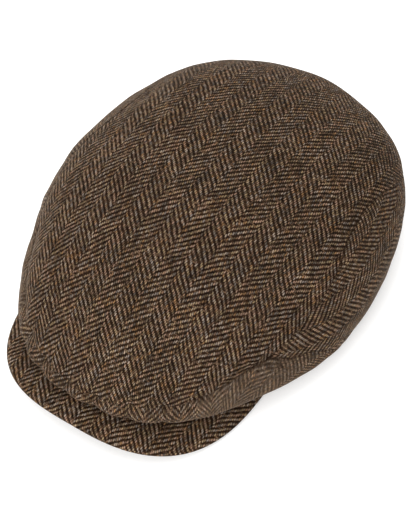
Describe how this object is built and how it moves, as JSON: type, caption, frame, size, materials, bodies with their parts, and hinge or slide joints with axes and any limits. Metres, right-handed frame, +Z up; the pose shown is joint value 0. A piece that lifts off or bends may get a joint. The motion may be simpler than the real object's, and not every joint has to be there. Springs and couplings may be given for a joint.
{
  "type": "flat cap",
  "caption": "Flat cap in brown herringbone tweed: a low crown drawn forward over a small arched peak, with a curved side seam and a front band.",
  "frame": {"origin": "under the middle of the cap, at the height of the rim it rests on", "axes": "+Z up; the peak points to -Y and the back of the crown to +Y; +X is the wearer's left"},
  "size_m": [0.2112, 0.2896, 0.095],
  "materials": {
    "tweed_top": "wool tweed, brown and beige herringbone",
    "tweed_sides": "wool tweed, brown and beige herringbone",
    "tweed_band": "wool tweed, brown and beige herringbone",
    "tweed_peak": "wool tweed over a stiff board"
  },
  "bodies": {
    "root": {"top_panel": "tweed_top", "side_panel_left": "tweed_sides", "side_panel_right": "tweed_sides", "front_band": "tweed_band", "peak": "tweed_peak"}
  },
  "joints": []
}
